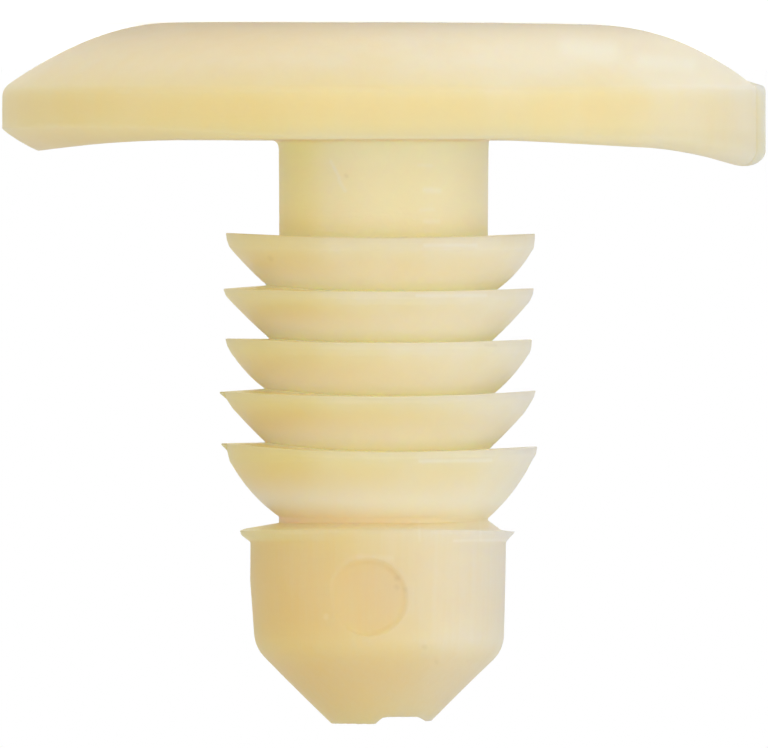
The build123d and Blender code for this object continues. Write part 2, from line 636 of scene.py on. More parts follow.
@dataclass(frozen=True)
class Lathe:
    """Geometry Nodes tree that turns the half section about Z into one closed skin."""

    segments: int = 288
    parting_focus: float = 0.82         # how much closer the segments stand at the parting line
    flash_thickness: float = 0.26
    flash_fade: float = 0.08
    plus_end: ArchEnd = ArchEnd(start=4.4, slope=0.0, bend=4.4, curve=0.019)
    minus_end: ArchEnd = ArchEnd(start=2.8, slope=0.055, bend=6.2, curve=0.068)
    tilt: float = 0.0078                # the arch hangs lower toward -Y
    waviness: float = 0.014             # sink and warp of the cooling plastic
    wave_length: float = 1.6
    seed: int = 7
    merge_distance: float = 0.0004

    def inputs(self) -> dict[str, float | int]:
        """The tree's named inputs, lengths in metres.
        """
        values: dict[str, float | int] = {
            "Segments": self.segments,
            "Parting Focus": self.parting_focus,
            "Flash Thickness": self.flash_thickness * MM,
            "Flash Fade": self.flash_fade * MM,
        }
        for label, end in (("Plus", self.plus_end), ("Minus", self.minus_end)):
            values[f"{label} Start"] = end.start * MM
            values[f"{label} Slope"] = end.slope
            values[f"{label} Bend"] = end.bend * MM
            values[f"{label} Curve"] = end.curve / MM
        values["Tilt"] = self.tilt
        values["Waviness"] = self.waviness * MM
        values["Wave Length"] = self.wave_length * MM
        values["Seed"] = self.seed
        values["Merge Distance"] = self.merge_distance * MM
        return values

    def build_tree(self) -> bpy.types.NodeTree:
        """Build the node tree.

        Returns:
            The tree, with its inputs declared.
        """
        tree = bpy.data.node_groups.new("rivet_lathe", "GeometryNodeTree")
        tree.is_modifier = True
        tree.interface.new_socket("Geometry", in_out="OUTPUT", socket_type="NodeSocketGeometry")
        tree.interface.new_socket("Section", in_out="INPUT", socket_type="NodeSocketGeometry")
        for name, value in self.inputs().items():
            kind = "NodeSocketInt" if isinstance(value, int) else "NodeSocketFloat"
            tree.interface.new_socket(name, in_out="INPUT", socket_type=kind)
        tree.interface.new_socket("Material", in_out="INPUT", socket_type="NodeSocketMaterial")
        add = partial(add_node, tree)
        given = add("NodeGroupInput").outputs

        # A flat grid has one column for each step round the axis and one row for each point of the section
        section = given["Section"]
        rows = add("GeometryNodeAttributeDomainSize", [section], component="MESH").outputs["Point Count"]
        columns = add("ShaderNodeMath", [given["Segments"], 1.0], operation="ADD")
        counts = {"Size X": 1.0, "Size Y": 1.0, "Vertices X": columns, "Vertices Y": rows}
        grid = add("GeometryNodeMeshGrid", counts)
        index = add("GeometryNodeInputIndex")
        ratio = add("ShaderNodeMath", [index, rows], operation="DIVIDE")
        column = add("ShaderNodeMath", [ratio], operation="FLOOR")
        skipped = add("ShaderNodeMath", [column, rows], operation="MULTIPLY")
        row = add("ShaderNodeMath", [index, skipped], operation="SUBTRACT")

        # Even turn, then crowded toward both ends of the parting line
        turn = add("ShaderNodeMath", [column, given["Segments"]], operation="DIVIDE")
        even = add("ShaderNodeMath", [turn, 2 * math.pi], operation="MULTIPLY")
        double = add("ShaderNodeMath", [turn, 4 * math.pi], operation="MULTIPLY")
        sway = add("ShaderNodeMath", [double], operation="SINE")
        pull = add("ShaderNodeMath", [given["Parting Focus"], -0.5], operation="MULTIPLY")
        angle = add("ShaderNodeMath", [sway, pull, even], operation="MULTIPLY_ADD")
        cosine = add("ShaderNodeMath", [angle], operation="COSINE")
        sine = add("ShaderNodeMath", [angle], operation="SINE")
        toward_plus = add("ShaderNodeMath", [cosine, 0.0], operation="MAXIMUM")
        toward_minus = add("ShaderNodeMath", [cosine, 0.0], operation="MINIMUM")
        plus_share = add("ShaderNodeMath", [toward_plus, 2.0], operation="POWER")
        minus_share = add("ShaderNodeMath", [toward_minus, toward_minus], operation="MULTIPLY")

        # The section of this column
        sampled: dict[str, bpy.types.Node] = {}
        fields = {
            "place": (add("GeometryNodeInputPosition"), "FLOAT_VECTOR"),
            "plus_offset": (None, "FLOAT_VECTOR"),
            "minus_offset": (None, "FLOAT_VECTOR"),
            "flash_reach": (None, "FLOAT_VECTOR"),
            "arch_share": (None, "FLOAT"),
        }
        for name, (field, data_type) in fields.items():
            source = field or add("GeometryNodeInputNamedAttribute", [name], data_type=data_type)
            sampled[name] = add(
                "GeometryNodeSampleIndex",
                {"Geometry": section, "Value": source, "Index": row},
                data_type=data_type,
                domain="POINT",
            )
        drawn = sampled["place"]
        for name, share in (("plus_offset", plus_share), ("minus_offset", minus_share)):
            drawn = add("ShaderNodeVectorMath", [sampled[name], share, drawn], operation="MULTIPLY_ADD")
        drawn_x, _, drawn_z = add("ShaderNodeSeparateXYZ", [drawn]).outputs

        # Flash: a thin fin that stands out where the two mould halves meet
        reach = add("ShaderNodeSeparateXYZ", [sampled["flash_reach"]]).outputs
        on_plus = add("ShaderNodeMath", [cosine, 0.0], operation="GREATER_THAN")
        fin = add("ShaderNodeMix", {"Factor": on_plus, 2: reach["Y"], 3: reach["X"]}, data_type="FLOAT")
        sideways = add("ShaderNodeMath", [drawn_x, sine], operation="MULTIPLY")
        off_line = add("ShaderNodeMath", [sideways], operation="ABSOLUTE")
        half_fin = add("ShaderNodeMath", [given["Flash Thickness"], 0.5], operation="MULTIPLY")
        fin_end = add("ShaderNodeMath", [half_fin, given["Flash Fade"]], operation="ADD")
        fin_share = add(
            "ShaderNodeMapRange",
            {"Value": off_line, "From Min": half_fin, "From Max": fin_end, "To Min": 1.0, "To Max": 0.0},
            interpolation_type="SMOOTHSTEP",
        )
        radius = add("ShaderNodeMath", [fin, fin_share, drawn_x], operation="MULTIPLY_ADD")
        place_x = add("ShaderNodeMath", [radius, cosine], operation="MULTIPLY")
        place_y = add("ShaderNodeMath", [radius, sine], operation="MULTIPLY")

        # The arch runs straight along Y, and each end has its own droop
        out = add("ShaderNodeMath", [place_x], operation="ABSOLUTE")
        end: dict[str, bpy.types.Node] = {}
        for part in ("Start", "Slope", "Bend", "Curve"):
            ends = {"Factor": on_plus, 2: given[f"Minus {part}"], 3: given[f"Plus {part}"]}
            end[part] = add("ShaderNodeMix", ends, data_type="FLOAT")
        past: dict[str, bpy.types.Node] = {}
        for part in ("Start", "Bend"):
            beyond = add("ShaderNodeMath", [out, end[part]], operation="SUBTRACT")
            past[part] = add("ShaderNodeMath", [beyond, 0.0], operation="MAXIMUM")
        squared = add("ShaderNodeMath", [past["Bend"], past["Bend"]], operation="MULTIPLY")
        straight = add("ShaderNodeMath", [past["Start"], end["Slope"]], operation="MULTIPLY")
        droop = add("ShaderNodeMath", [squared, end["Curve"], straight], operation="MULTIPLY_ADD")
        lift = add("ShaderNodeMath", [place_y, given["Tilt"]], operation="MULTIPLY")
        arch = add("ShaderNodeMath", [droop, lift], operation="SUBTRACT")
        place_z = add("ShaderNodeMath", [arch, sampled["arch_share"], drawn_z], operation="MULTIPLY_ADD")
        turned = add("ShaderNodeCombineXYZ", [place_x, place_y, place_z])

        # Slow waviness of a part that cooled out of the mould
        scale = add("ShaderNodeMath", [1.0, given["Wave Length"]], operation="DIVIDE")
        pattern = {"Vector": turned, "W": given["Seed"], "Scale": scale, "Detail": 1.0}
        waves = add("ShaderNodeTexNoise", pattern, noise_dimensions="4D").outputs["Color"]
        centred = add("ShaderNodeVectorMath", [waves, (NOISE_MIDDLE,) * 3], operation="SUBTRACT")
        moved = add("ShaderNodeVectorMath", {0: centred, "Scale": given["Waviness"]}, operation="SCALE")
        settled = add("ShaderNodeVectorMath", [turned, moved], operation="ADD")

        placed = add("GeometryNodeSetPosition", {"Geometry": grid, "Position": settled})
        closed = add("GeometryNodeMergeByDistance", {"Geometry": placed, "Distance": given["Merge Distance"]})
        smooth = add("GeometryNodeSetShadeSmooth", {"Geometry": closed, "Shade Smooth": True})
        real = add("GeometryNodeRealizeInstances", [smooth])
        dressed = add("GeometryNodeSetMaterial", {"Geometry": real, "Material": given["Material"]})
        add("NodeGroupOutput", [dressed])
        return tree

    def turn(self, section: bpy.types.Object, material: bpy.types.Material, name: str) -> bpy.types.Object:
        """Turn a section object into a plain closed mesh.

        Args:
            section: The section, with the attributes that the tree reads.
            material: Finish of the skin.
            name: Name of the new object.

        Returns:
            The turned object. The section is removed.
        """
        tree = self.build_tree()
        modifier = section.modifiers.new("lathe", "NODES")
        modifier.node_group = tree
        sockets = {item.name: item.identifier for item in tree.interface.items_tree if item.in_out == "INPUT"}
        for label, value in self.inputs().items():
            modifier[sockets[label]] = value
        modifier[sockets["Material"]] = material
        mesh = plain_mesh(section)
        mesh.name = name
        mesh.materials.clear()
        mesh.materials.append(material)
        mesh.polygons.foreach_set("material_index", [0] * len(mesh.polygons))
        bpy.data.objects.remove(section)
        form = bmesh.new()
        form.from_mesh(mesh)
        bmesh.ops.recalc_face_normals(form, faces=form.faces)
        form.to_mesh(mesh)
        form.free()
        return new_object(name, mesh)


def plain_mesh(source: bpy.types.Object) -> bpy.types.Mesh:
    """Take the shape that an object's modifiers give it as a mesh of its own."""
    graph = bpy.context.evaluated_depsgraph_get()
    return bpy.data.meshes.new_from_object(source.evaluated_get(graph), depsgraph=graph)


# ---- Scars of moulding ----


@dataclass(frozen=True)
class EjectorMark:
    """Shallow round pocket that an ejector pin's crowned end left in the front of the nose."""

    radius: float = 0.905
    offset: float = 0.340           # from the axis, toward +X
    height: float = 10.79
    floor_depth: float = 2.755      # from the axis, toward -Y, of the flat that the floor starts from
    crowning: float = 0.6           # share by which the floor follows the wall instead of that flat
    crown_sink: float = 0.055       # how far a floor that followed the wall would lie under it
    nose_radius: float = 3.0
    nose_offset: float = 0.10
    floor_share: float = 0.55       # of the radius, that the flat middle of the floor takes
    lip_round: float = 0.17
    # From the floor to outside the nose: lip rounds past the radius, share of the way up, and stand-out
    lip: tuple[tuple[float, float, float], ...] = (
        (-0.9, 0.0, 0.0),
        (-0.45, 0.06, 0.0),
        (-0.12, 0.28, 0.0),
        (0.12, 0.62, 0.0),
        (0.45, 0.9, 0.0),
        (1.0, 1.0, 0.001),
        (1.6, 1.0, 0.012),
        (1.6, 1.0, 0.6),
    )
    segments: int = 96

    def ring(self, reach: float, share: float, proud: float = 0.0) -> list[Vector]:
        """One ring of the cutter round the pin's axis.

        Args:
            reach: Distance from the pin's axis.
            share: 0 on the pocket's floor, 1 on the nose's wall.
            proud: How far outside the wall the ring stands.

        Returns:
            The ring's points in metres.
        """
        points = []
        for index in range(self.segments):
            angle = 2 * math.pi * index / self.segments
            x = self.offset + reach * math.cos(angle)
            wall = math.sqrt(self.nose_radius**2 - (x - self.nose_offset) ** 2)
            floor = self.floor_depth + (wall - self.crown_sink - self.floor_depth) * self.crowning
            depth = floor + (wall - floor) * share + proud
            points.append(Vector((x, -depth, self.height + reach * math.sin(angle))) * MM)
        return points

    def build(self) -> bpy.types.Object:
        """The pin's end as a cutter, with a rounded floor corner and a mouth that flares into the wall.

        Returns:
            The cutter.
        """
        rings = [self.ring(self.radius * self.floor_share, 0.0)]
        for rounds, share, proud in self.lip:
            rings.append(self.ring(self.radius + rounds * self.lip_round, share, proud))
        return solid_from_rings("ejector_pin_cutter", rings)


@dataclass(frozen=True)
class GateBreak:
    """Ragged end of the tip, where the gate was snapped off."""

    half_depth: float = 1.6
    columns: int = 60
    rows: int = 40
    roughness: float = 0.02
    grain: float = 0.22
    above: float = 14.2
    outline: tuple[tuple[float, float], ...] = (
        (1.60, 13.775),
        (0.17, 13.770),
        (0.01, 13.625),
        (-0.12, 13.605),
        (-0.83, 13.605),
        (-1.02, 13.715),
        (-1.09, 13.710),
        (-1.60, 13.690),
    )

    def torn_height(self, x: float, y: float) -> float:
        """Height of the torn surface.

        Args:
            x: Place across the parting line.
            y: Place along the mould's opening.

        Returns:
            Height in millimetres.
        """
        height = self.outline[-1][1]
        for (x_high, z_high), (x_low, z_low) in zip(self.outline, self.outline[1:]):
            if x_low <= x <= x_high:
                share = (x - x_low) / (x_high - x_low)
                height = z_low + (z_high - z_low) * share
                break
        return height + self.roughness * noise.noise(Vector((x, y, 0.0)) / self.grain)

    def build(self) -> bpy.types.Object:
        """Everything past the torn surface, as a cutter.

        Returns:
            The cutter.
        """
        widest, narrowest = self.outline[0][0], self.outline[-1][0]
        form = bmesh.new()
        sheets: list[list[list[bmesh.types.BMVert]]] = []
        for torn in (True, False):
            sheet = []
            for i in range(self.columns + 1):
                x = narrowest + (widest - narrowest) * i / self.columns
                line = []
                for j in range(self.rows + 1):
                    y = self.half_depth * (2 * j / self.rows - 1)
                    z = self.torn_height(x, y) if torn else self.above
                    line.append(form.verts.new(Vector((x, y, z)) * MM))
                sheet.append(line)
            sheets.append(sheet)
            for i in range(self.columns):
                for j in range(self.rows):
                    form.faces.new((sheet[i][j], sheet[i + 1][j], sheet[i + 1][j + 1], sheet[i][j + 1]))
        low, high = sheets
        for i in range(self.columns):
            for j in (0, self.rows):
                form.faces.new((low[i][j], low[i + 1][j], high[i + 1][j], high[i][j]))
        for j in range(self.rows):
            for i in (0, self.columns):
                form.faces.new((low[i][j], low[i][j + 1], high[i][j + 1], high[i][j]))
        bmesh.ops.recalc_face_normals(form, faces=form.faces)
        mesh = bpy.data.meshes.new("gate_break_cutter")
        form.to_mesh(mesh)
        form.free()
        return new_object("gate_break_cutter", mesh)


def cut(target: bpy.types.Object, cutters: Iterable[bpy.types.Object]) -> None:
    """Take cutters out of a closed mesh, and remove them.

    Args:
        target: Object whose mesh is replaced.
        cutters: Closed objects to take out.
    """
    cutters = list(cutters)
    for cutter in cutters:
        cutter.data.materials.append(target.data.materials[0])
        modifier = target.modifiers.new(cutter.name, "BOOLEAN")
        modifier.operation = "DIFFERENCE"
        modifier.solver = "EXACT"
        modifier.object = cutter
    mesh = plain_mesh(target)
    mesh.name = target.data.name
    target.modifiers.clear()
    target.data = mesh
    for cutter in cutters:
        bpy.data.objects.remove(cutter)


# ---- Finishes ----


@dataclass(frozen=True)
class Mark:
    """A stroke or spot on the side toward -Y, given by its places along X and Z in millimetres."""

    start: tuple[float, float]
    end: tuple[float, float]
    width: float
    paleness: float         # above 0 it is milkier than the skin round it, below 0 it is darker
    depth: float = 0.0      # cut into the skin


@dataclass(frozen=True)
class Pattern:
    """Noise in the plastic or on its skin."""

    width: float            # millimetres across one patch
    detail: float
    strength: float         # change of the milkiness, or millimetres of relief
    squeeze: tuple[float, float, float] = (1.0, 1.0, 1.0)   # under 1 along an axis that it is drawn out on


class Along(Enum):
    """What a border is measured along, in millimetres."""

    X = "toward the +X end of the parting line"
    Y = "toward the back mould face"
    Z = "from the head's underside toward the tip"
    AXIS = "away from the shank's axis"
    PIN = "away from the ejector pin's axis"


@dataclass(frozen=True)
class Border:
    """Level that goes from one value to another between two places."""

    along: Along
    start: float
    end: float
    before: float = 0.0
    past: float = 1.0
    eased: bool = True      # slow at both ends, instead of straight


class Area(Enum):
    """Places on the moulding that look different, each the product of its borders' levels."""

    DOME = (Border(Along.Z, -1.9, -0.8, 1.0, 0.0),)
    DOME_EDGE = (Border(Along.Z, -1.26, -1.12, 1.0, 0.0),)
    UNDERSIDE = (
        Border(Along.AXIS, 4.0, 5.0),
        Border(Along.Z, -0.35, 0.0),
        Border(Along.AXIS, 6.6, 8.6, 1.0, 0.0),
    )
    RIM_FOOT = (*UNDERSIDE[:2], Border(Along.AXIS, 6.6, 8.6))
    FAR_END = (Border(Along.X, -8.0, -5.2, 1.0, 0.0),)
    FRONT = (Border(Along.Y, -0.6, -0.1, 1.0, 0.0),)
    PLUS_SIDE = (Border(Along.X, 1.1, 2.0),)
    SHANK = (Border(Along.Z, -0.05, 0.1), Border(Along.AXIS, 4.0, 5.0, 1.0, 0.0))
    COLLAR = (Border(Along.Z, 0.15, 0.9, 1.0, 0.0),)
    BARBS = (Border(Along.Z, 1.9, 2.5),)
    BARB_TIPS = (Border(Along.AXIS, 3.0, 3.7), *PLUS_SIDE, *SHANK)
    BARE_CORE = (
        Border(Along.AXIS, 2.7, 3.5, 1.0, 0.0),
        *SHANK,
        Border(Along.Z, 8.4, 9.0, 1.0, 0.6),
        Border(Along.Z, 9.0, 9.2, 1.0, 0.0),
    )
    NOSE = (Border(Along.Z, 9.0, 9.25),)
    CONE = (Border(Along.Z, 11.7, 12.2),)
    PALE_WALL = (Border(Along.X, -1.3, 0.5, 1.0, 0.0), Border(Along.Z, 11.7, 12.2, 1.0, 0.2), *NOSE)
    POCKET = (Border(Along.PIN, 0.84, 0.96, 1.0, 0.0), *FRONT)


class SkinTree:
    """Material tree that knows where on the moulding it is.

    Attributes:
        add: The add-node helper, held to this tree.
        place: Object coordinates in millimetres.
        plan: The same with Y flattened, as the moulding is seen from its front.
        readings: What borders are measured along.
        areas: Level of each area.
    """

    def __init__(self, tree: bpy.types.NodeTree, pin_place: tuple[float, float, float]) -> None:
        """Lay the readings, the borders and the areas.

        Args:
            tree: Empty material tree.
            pin_place: Where the ejector pin's axis crosses the plane of Y 0, in millimetres.
        """
        self.add = partial(add_node, tree)
        place = self.add("ShaderNodeTexCoord").outputs["Object"]
        self.place = self.add("ShaderNodeVectorMath", {0: place, "Scale": 1 / MM}, operation="SCALE")
        self.plan = self.add("ShaderNodeVectorMath", [self.place, (1.0, 0.0, 1.0)], operation="MULTIPLY")
        x, y, z = self.add("ShaderNodeSeparateXYZ", [self.place]).outputs
        flat = self.add("ShaderNodeCombineXYZ", [x, y, 0.0])
        radius = self.add("ShaderNodeVectorMath", [flat], operation="LENGTH").outputs["Value"]
        pin = self.add("ShaderNodeVectorMath", [self.plan, pin_place], operation="DISTANCE").outputs["Value"]
        self.readings = {Along.X: x, Along.Y: y, Along.Z: z, Along.AXIS: radius, Along.PIN: pin}
        borders = dict.fromkeys(border for area in Area for border in area.value)
        levels = {border: self.level(border) for border in borders}
        self.areas: dict[Area, bpy.types.Node] = {}
        for area in Area:
            inside, *others = (levels[border] for border in area.value)
            for other in others:
                inside = self.add("ShaderNodeMath", [inside, other], operation="MULTIPLY")
            self.areas[area] = inside

    def level(self, border: Border) -> bpy.types.Node:
        """Read a border's level.

        Args:
            border: The border.

        Returns:
            Its level at each place of the skin.
        """
        return self.add(
            "ShaderNodeMapRange",
            [self.readings[border.along], border.start, border.end, border.before, border.past],
            interpolation_type="SMOOTHSTEP" if border.eased else "LINEAR",
        )

    def noise(self, pattern: Pattern) -> bpy.types.Node:
        """Draw a pattern.

        Args:
            pattern: The pattern.

        Returns:
            Its noise, from 0 to 1 and mostly near the middle.
        """
        place = self.add("ShaderNodeVectorMath", [self.place, pattern.squeeze], operation="MULTIPLY")
        inputs = {"Vector": place, "Scale": 1 / pattern.width, "Detail": pattern.detail}
        return self.add("ShaderNodeTexNoise", inputs)

    def total(self, start: Level, terms: Iterable[tuple[Area | Level, float]]) -> Level:
        """Add up levels, each by its own factor.

        Args:
            start: What the sum starts from.
            terms: Area or level, and its factor.

        Returns:
            The sum.
        """
        for term, factor in terms:
            level = self.areas[term] if isinstance(term, Area) else term
            start = self.add("ShaderNodeMath", [level, factor, start], operation="MULTIPLY_ADD")
        return start

    def paint(
        self,
        base: str | bpy.types.Node,
        coats: Iterable[tuple[Level, str | bpy.types.Node]],
    ) -> bpy.types.Node:
        """Lay colours over each other.

        Args:
            base: The lowest colour, as a hex text or a node.
            coats: Share and colour of each coat, from the lowest up.

        Returns:
            The colour that shows.
        """
        painted = linear_colour(base) if isinstance(base, str) else base
        for share, colour in coats:
            coat = linear_colour(colour) if isinstance(colour, str) else colour
            painted = self.add("ShaderNodeMix", {"Factor": share, 6: painted, 7: coat}, data_type="RGBA")
        return painted


@dataclass(frozen=True)
class NaturalNylon:
    """Injection-moulded natural nylon 6/6: a milky straw-coloured plastic that light sinks into.

    The spark-eroded mould leaves it satin. Where the melt froze first, under the crown's skin, it is
    milkiest; the thick core stays clear and glows; and toward the gate the straw deepens.
    """

    name: str = "natural_nylon_66_moulded"
    deep_straw: str = "#F5D58A"
    straw: str = "#F1DDAD"
    bloom: str = "#F4EAD6"
    core: str = "#FCF8E2"
    neck_core: str = "#FCF4D2"
    yellow_core: str = "#FEF2B0"
    thick: str = "#CDB882"
    pale_thick: str = "#CFC8B4"
    scuff: str = "#FBF6EA"
    smudge: str = "#B09866"
    ior: float = 1.53
    gloss_level: float = 0.3            # under 0.5, because the eroded skin scatters most of its gloss
    roughness: float = 0.45
    roughness_swing: float = 0.06       # either way, between the thinnest and the thickest clouds
    cloud_ends: tuple[float, float] = (0.3, 0.7)
    scatter_radius: tuple[float, float, float] = (1.0, 0.85, 0.5)
    scatter_scale: float = 3.0          # millimetres
    pin_place: tuple[float, float, float] = (0.34, 0.0, 10.79)
    # Clouds of a melt that froze unevenly, streaks of its flow, and drag lines of the nose on its mould
    clouds: Pattern = Pattern(2.4, 3.0, 0.5)
    streaks: Pattern = Pattern(0.5, 2.0, 0.16, (1.0, 1.0, 0.22))
    drags: Pattern = Pattern(0.13, 1.0, 0.2, (1.0, 1.0, 0.06))
    # The spark-eroded grain and the mould's turning marks are finer than this, and drawn to show
    grain: Pattern = Pattern(0.11, 2.0, 0.004)
    turning: Pattern = Pattern(0.09, 1.0, 0.003, (0.12, 0.12, 1.0))
    # Milkiness: 0 is the deep straw of thick stock near the gate, 1 is the pale bloom of the crown
    straw_milk: float = 0.5             # of the straw between them
    milk: float = 0.39                  # in the middle of the head's underside
    milk_slope: float = -0.03           # per millimetre toward the tip
    milk_skew: float = -0.032           # per millimetre toward +X
    milk_twist: float = -0.0125         # change of that skew, per millimetre toward the tip
    skew_ends: tuple[float, float] = (-4.0, 3.0)
    milk_changes: tuple[tuple[Area, float], ...] = (
        (Area.SHANK, 0.16),
        (Area.BARBS, 0.14),
        (Area.DOME, 0.36),
        (Area.DOME_EDGE, 0.14),
        (Area.UNDERSIDE, 0.2),
        (Area.BARB_TIPS, -0.2),
        (Area.FAR_END, 0.25),
        (Area.NOSE, 0.09),
        (Area.CONE, -0.08),
        (Area.POCKET, -0.05),
    )
    # Glow of the clear core, where the neck and the roots leave it bare
    glow: float = 0.7
    glow_changes: tuple[tuple[Area, float], ...] = ((Area.BARBS, 0.15), (Area.COLLAR, 0.2))
    # Thickness of the stock: the nose is the thickest and the darkest, and the rim's wall comes next
    stock: Border = Border(Along.Z, 1.5, 9.0, 0.2, 0.36, eased=False)
    stock_changes: tuple[tuple[Area, float], ...] = (
        (Area.NOSE, 0.13),
        (Area.CONE, 0.08),
        (Area.BARB_TIPS, 0.16),
        (Area.SHANK, -0.2),
        (Area.DOME, -0.2),
        (Area.RIM_FOOT, 0.1),
        (Area.UNDERSIDE, -0.12),
    )
    marks: tuple[Mark, ...] = (
        Mark((1.215, 0.53), (1.02, 0.90), 0.07, 0.4, 0.003),
        Mark((1.03, 0.96), (0.885, 1.215), 0.08, 0.35, 0.003),
        Mark((0.86, 0.86), (0.84, 0.88), 0.08, -0.14, 0.002),
        Mark((-0.86, 0.62), (-1.14, 0.63), 0.08, 0.25),
        Mark((-1.0, 1.20), (-1.32, 1.22), 0.12, 0.4),
        Mark((-0.9, 1.67), (-1.2, 1.66), 0.08, 0.2),
        Mark((-1.0, 1.94), (-1.32, 1.95), 0.1, 0.35),
        Mark((-1.02, 2.17), (-1.3, 2.18), 0.07, 0.2),
        Mark((-1.0, 2.51), (-2.2, 2.50), 0.08, 0.25),
        Mark((-0.81, 3.69), (-2.42, 3.68), 0.08, 0.25),
        Mark((-0.88, 7.58), (-2.54, 7.56), 0.08, 0.25),
        Mark((2.65, 2.80), (2.62, 2.83), 0.1, -0.14, 0.002),
        Mark((-2.42, 4.85), (-2.66, 4.86), 0.06, -0.12, 0.002),
        Mark((-0.37, 10.32), (-0.33, 10.34), 0.11, -0.14, 0.002),
        Mark((-0.32, 10.53), (-0.34, 10.55), 0.1, -0.12, 0.002),
        Mark((-0.53, 10.58), (-0.54, 10.60), 0.1, -0.1, 0.002),
        Mark((0.55, 9.84), (-0.2, 9.86), 0.12, 0.1),
        Mark((1.33, 11.22), (1.33, 11.25), 0.11, 0.15),
        Mark((-0.98, 11.95), (-1.0, 11.96), 0.1, -0.12, 0.002),
        Mark((-1.26, 12.30), (-1.27, 12.31), 0.09, -0.1, 0.002),
        Mark((-1.69, 9.45), (-3.0, 9.44), 0.06, 0.2),
        Mark((-0.86, 9.0), (-0.87, 9.44), 0.06, 0.12),
        Mark((-2.3, 9.0), (-2.31, 9.44), 0.06, 0.12),
        Mark((-4.35, -2.13), (-5.3, -2.05), 0.42, 0.5),
        Mark((-6.1, -1.82), (-7.2, -1.75), 0.34, 0.45),
        Mark((-8.5, -1.1), (-8.5, -0.3), 0.3, 0.12),
        Mark((-8.84, -1.15), (-8.84, 0.3), 0.05, -0.25),
    )

    def build_mark_group(self) -> bpy.types.NodeTree:
        """Build the group that fades a stroke out from its middle line.

        Returns:
            The group, with a flattened place, both ends and the width as its inputs.
        """
        group = bpy.data.node_groups.new("skin_mark", "ShaderNodeTree")
        for name in ("Place", "Start", "Span"):
            group.interface.new_socket(name, in_out="INPUT", socket_type="NodeSocketVector")
        for name in ("Span Squared", "Width"):
            group.interface.new_socket(name, in_out="INPUT", socket_type="NodeSocketFloat")
        group.interface.new_socket("Share", in_out="OUTPUT", socket_type="NodeSocketFloat")
        add = partial(add_node, group)
        place, start, span, span_squared, width, _ = add("NodeGroupInput").outputs
        offset = add("ShaderNodeVectorMath", [place, start], operation="SUBTRACT")
        reach = add("ShaderNodeVectorMath", [offset, span], operation="DOT_PRODUCT").outputs["Value"]
        along = add("ShaderNodeMath", [reach, span_squared], operation="DIVIDE", use_clamp=True)
        foot = add("ShaderNodeVectorMath", {0: span, "Scale": along}, operation="SCALE")
        distance = add("ShaderNodeVectorMath", [offset, foot], operation="DISTANCE").outputs["Value"]
        fade = [distance, 0.0, width, 1.0, 0.0]
        share = add("ShaderNodeMapRange", fade, interpolation_type="SMOOTHSTEP")
        add("NodeGroupOutput", [share])
        return group

    def lay_marks(self, skin: SkinTree) -> tuple[Level, Level, Level]:
        """Lay the scuffs, pits and stains, each where it is on the moulding.

        Args:
            skin: Tree that gets the nodes.

        Returns:
            How pale and how dark the marks make the skin, and their relief in metres.
        """
        group = self.build_mark_group()
        shown: list[tuple[Mark, bpy.types.Node]] = []
        for mark in self.marks:
            start = Vector((mark.start[0], 0.0, mark.start[1]))
            span = Vector((mark.end[0], 0.0, mark.end[1])) - start
            inputs = [skin.plan, start, span, span.length_squared, mark.width]
            stroke = skin.add("ShaderNodeGroup", inputs, node_tree=group)
            front = skin.add("ShaderNodeMath", [stroke, skin.areas[Area.FRONT]], operation="MULTIPLY")
            shown.append((mark, front))
        pale = skin.total(0.0, [(level, mark.paleness) for mark, level in shown if mark.paleness > 0])
        dark = skin.total(0.0, [(level, -mark.paleness) for mark, level in shown if mark.paleness < 0])
        dents = skin.total(0.0, [(level, -mark.depth * MM) for mark, level in shown if mark.depth])
        return pale, dark, dents

    def milkiness(self, skin: SkinTree, clouds: Level) -> Level:
        """Work out how milky the plastic is.

        Args:
            skin: Tree that gets the nodes.
            clouds: The clouds' pattern.

        Returns:
            The milkiness, from deep straw to bloom.
        """
        low, high = self.skew_ends
        across = skin.add("ShaderNodeClamp", {"Value": skin.readings[Along.X], "Min": low, "Max": high})
        height = skin.add("ShaderNodeMath", [skin.readings[Along.Z], 0.0], operation="MAXIMUM")
        skew = skin.add("ShaderNodeMath", [height, self.milk_twist, self.milk_skew], operation="MULTIPLY_ADD")
        milk = skin.add("ShaderNodeMath", [height, self.milk_slope, self.milk], operation="MULTIPLY_ADD")
        milk = skin.add("ShaderNodeMath", [across, skew, milk], operation="MULTIPLY_ADD")
        milk = skin.total(milk, self.milk_changes)
        drags = {"Factor": skin.areas[Area.NOSE], 2: NOISE_MIDDLE, 3: skin.noise(self.drags)}
        for drawn, strength in (
            (clouds, self.clouds.strength),
            (skin.noise(self.streaks), self.streaks.strength),
            (skin.add("ShaderNodeMix", drags, data_type="FLOAT"), self.drags.strength),
        ):
            centred = skin.add("ShaderNodeMath", [drawn, NOISE_MIDDLE], operation="SUBTRACT")
            milk = skin.total(milk, [(centred, strength)])
        return milk

